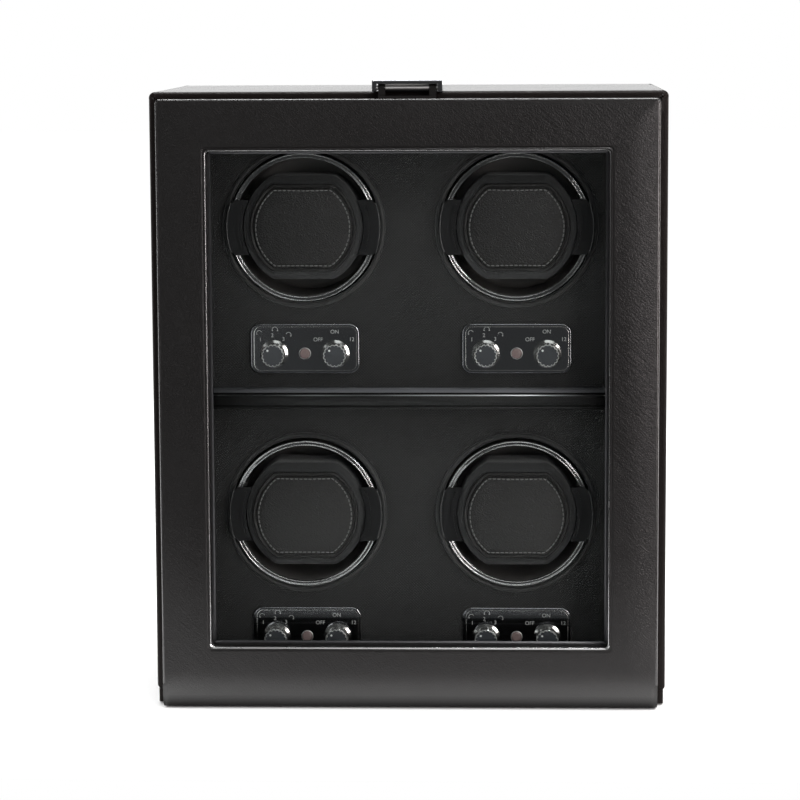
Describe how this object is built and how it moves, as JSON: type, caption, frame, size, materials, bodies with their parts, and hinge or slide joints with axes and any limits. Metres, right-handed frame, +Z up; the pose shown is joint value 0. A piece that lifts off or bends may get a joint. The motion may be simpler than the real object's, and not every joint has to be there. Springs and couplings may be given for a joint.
{
  "type": "watch winder box",
  "caption": "Wrapped box with a glazed drop-down front door, a top clasp and rotating drums that hold watch cuffs above fluted control knobs.",
  "frame": {"origin": "centre of the bounding box in plan, on the surface that the box stands on", "axes": "+X right as seen from the front, +Y from the door to the back, +Z up"},
  "size_m": [0.298, 0.197, 0.3649],
  "materials": {
    "leather": "satin grain",
    "lining": "fine weave",
    "felt": "matte felt",
    "soft_trim": "matte",
    "glass": "clear polished",
    "dark_chrome": "polished dark",
    "bright_chrome": "polished",
    "drum_plastic": "gloss",
    "cuff_plastic": "fine texture",
    "cuff_suede": "suede with a leather front",
    "lens": "clear tint",
    "black_plastic": "matte",
    "frame_plastic": "moulded",
    "board": "lacquered",
    "steel": "turned",
    "brass": "cut"
  },
  "bodies": {
    "case": {"base_felt": "felt", "base_board": "leather", "side_panel_left": "leather", "side_panel_right": "leather", "top_panel": "leather", "back_panel": "leather", "back_screws": "steel", "power_inlet": "black_plastic", "divider": "leather", "upper_bay_lining": "lining", "lower_bay_lining": "lining", "fascia_upper": "lining", "fascia_lower": "lining", "drum_surrounds": "soft_trim", "drum_carriers": "frame_plastic", "drum_axles": "steel", "gear_motors": "steel", "control_plates": "dark_chrome", "indicator_lenses": "lens", "rotary_switches": "black_plastic", "circuit_boards": "board", "front_spine": "leather", "leather_hinge": "leather", "clasp_keeper": "bright_chrome"},
    "door": {"door_frame": "leather", "door_glass": "glass", "glass_bead": "black_plastic", "glazing_strip": "dark_chrome", "clasp_bracket": "bright_chrome", "clasp_pin": "steel"},
    "clasp": {"clasp_flap": "dark_chrome", "clasp_magnet": "steel"},
    "winder_upper_left": {"drum_upper_left": "drum_plastic", "drum_rim_upper_left": "bright_chrome"},
    "motor_pinion_upper_left": {"pinion_upper_left": "brass"},
    "cuff_upper_left": {"cuff_pad_upper_left": "cuff_suede", "cuff_frame_upper_left": "cuff_plastic"},
    "direction_switch_upper_left": {"direction_knob_upper_left": "bright_chrome"},
    "mode_switch_upper_left": {"mode_knob_upper_left": "bright_chrome"},
    "winder_upper_right": {"drum_upper_right": "drum_plastic", "drum_rim_upper_right": "bright_chrome"},
    "motor_pinion_upper_right": {"pinion_upper_right": "brass"},
    "cuff_upper_right": {"cuff_pad_upper_right": "cuff_suede", "cuff_frame_upper_right": "cuff_plastic"},
    "direction_switch_upper_right": {"direction_knob_upper_right": "bright_chrome"},
    "mode_switch_upper_right": {"mode_knob_upper_right": "bright_chrome"},
    "winder_lower_left": {"drum_lower_left": "drum_plastic", "drum_rim_lower_left": "bright_chrome"},
    "motor_pinion_lower_left": {"pinion_lower_left": "brass"},
    "cuff_lower_left": {"cuff_pad_lower_left": "cuff_suede", "cuff_frame_lower_left": "cuff_plastic"},
    "direction_switch_lower_left": {"direction_knob_lower_left": "bright_chrome"},
    "mode_switch_lower_left": {"mode_knob_lower_left": "bright_chrome"},
    "winder_lower_right": {"drum_lower_right": "drum_plastic", "drum_rim_lower_right": "bright_chrome"},
    "motor_pinion_lower_right": {"pinion_lower_right": "brass"},
    "cuff_lower_right": {"cuff_pad_lower_right": "cuff_suede", "cuff_frame_lower_right": "cuff_plastic"},
    "direction_switch_lower_right": {"direction_knob_lower_right": "bright_chrome"},
    "mode_switch_lower_right": {"mode_knob_lower_right": "bright_chrome"}
  },
  "joints": [
    {"name": "door_hinge", "type": "hinge", "parent": "case", "child": "door", "pos_m": [0, -0.0979, 0.00975], "axis": [1, 0, 0], "range_deg": [0, 90], "deforming": ["leather_hinge"]},
    {"name": "clasp_hinge", "type": "hinge", "parent": "door", "child": "clasp", "pos_m": [0, -0.091, 0.3602], "axis": [1, 0, 0], "range_deg": [0, 85]},
    {"name": "drum_spin_upper_left", "type": "hinge", "parent": "case", "child": "winder_upper_left", "pos_m": [-0.0623, 0, 0.2785], "axis": [0, 1, 0], "continuous": true},
    {"name": "pinion_spin_upper_left", "type": "hinge", "parent": "case", "child": "motor_pinion_upper_left", "pos_m": [-0.0623, 0, 0.2385], "axis": [0, 1, 0], "continuous": true},
    {"name": "cuff_slide_upper_left", "type": "slide", "parent": "winder_upper_left", "child": "cuff_upper_left", "axis": [0, -1, 0], "range_m": [0, 0.016]},
    {"name": "direction_turn_upper_left", "type": "hinge", "parent": "case", "child": "direction_switch_upper_left", "pos_m": [-0.0804, -0.06, 0.2039], "axis": [0, 1, 0], "range_deg": [0, 90]},
    {"name": "mode_turn_upper_left", "type": "hinge", "parent": "case", "child": "mode_switch_upper_left", "pos_m": [-0.0442, -0.06, 0.2039], "axis": [0, 1, 0], "range_deg": [0, 90]},
    {"name": "drum_spin_upper_right", "type": "hinge", "parent": "case", "child": "winder_upper_right", "pos_m": [0.0623, 0, 0.2785], "axis": [0, 1, 0], "continuous": true},
    {"name": "pinion_spin_upper_right", "type": "hinge", "parent": "case", "child": "motor_pinion_upper_right", "pos_m": [0.0623, 0, 0.2385], "axis": [0, 1, 0], "continuous": true},
    {"name": "cuff_slide_upper_right", "type": "slide", "parent": "winder_upper_right", "child": "cuff_upper_right", "axis": [0, -1, 0], "range_m": [0, 0.016]},
    {"name": "direction_turn_upper_right", "type": "hinge", "parent": "case", "child": "direction_switch_upper_right", "pos_m": [0.0442, -0.06, 0.2039], "axis": [0, 1, 0], "range_deg": [0, 90]},
    {"name": "mode_turn_upper_right", "type": "hinge", "parent": "case", "child": "mode_switch_upper_right", "pos_m": [0.0804, -0.06, 0.2039], "axis": [0, 1, 0], "range_deg": [0, 90]},
    {"name": "drum_spin_lower_left", "type": "hinge", "parent": "case", "child": "winder_lower_left", "pos_m": [-0.0623, 0, 0.109], "axis": [0, 1, 0], "continuous": true},
    {"name": "pinion_spin_lower_left", "type": "hinge", "parent": "case", "child": "motor_pinion_lower_left", "pos_m": [-0.0623, 0, 0.069], "axis": [0, 1, 0], "continuous": true},
    {"name": "cuff_slide_lower_left", "type": "slide", "parent": "winder_lower_left", "child": "cuff_lower_left", "axis": [0, -1, 0], "range_m": [0, 0.016]},
    {"name": "direction_turn_lower_left", "type": "hinge", "parent": "case", "child": "direction_switch_lower_left", "pos_m": [-0.0804, -0.06, 0.0344], "axis": [0, 1, 0], "range_deg": [0, 90]},
    {"name": "mode_turn_lower_left", "type": "hinge", "parent": "case", "child": "mode_switch_lower_left", "pos_m": [-0.0442, -0.06, 0.0344], "axis": [0, 1, 0], "range_deg": [0, 90]},
    {"name": "drum_spin_lower_right", "type": "hinge", "parent": "case", "child": "winder_lower_right", "pos_m": [0.0623, 0, 0.109], "axis": [0, 1, 0], "continuous": true},
    {"name": "pinion_spin_lower_right", "type": "hinge", "parent": "case", "child": "motor_pinion_lower_right", "pos_m": [0.0623, 0, 0.069], "axis": [0, 1, 0], "continuous": true},
    {"name": "cuff_slide_lower_right", "type": "slide", "parent": "winder_lower_right", "child": "cuff_lower_right", "axis": [0, -1, 0], "range_m": [0, 0.016]},
    {"name": "direction_turn_lower_right", "type": "hinge", "parent": "case", "child": "direction_switch_lower_right", "pos_m": [0.0442, -0.06, 0.0344], "axis": [0, 1, 0], "range_deg": [0, 90]},
    {"name": "mode_turn_lower_right", "type": "hinge", "parent": "case", "child": "mode_switch_lower_right", "pos_m": [0.0804, -0.06, 0.0344], "axis": [0, 1, 0], "range_deg": [0, 90]}
  ],
  "couplings": [
    {"joint": "pinion_spin_upper_left", "follows": "drum_spin_upper_left", "ratio": -4},
    {"joint": "pinion_spin_upper_right", "follows": "drum_spin_upper_right", "ratio": -4},
    {"joint": "pinion_spin_lower_left", "follows": "drum_spin_lower_left", "ratio": -4},
    {"joint": "pinion_spin_lower_right", "follows": "drum_spin_lower_right", "ratio": -4}
  ]
}
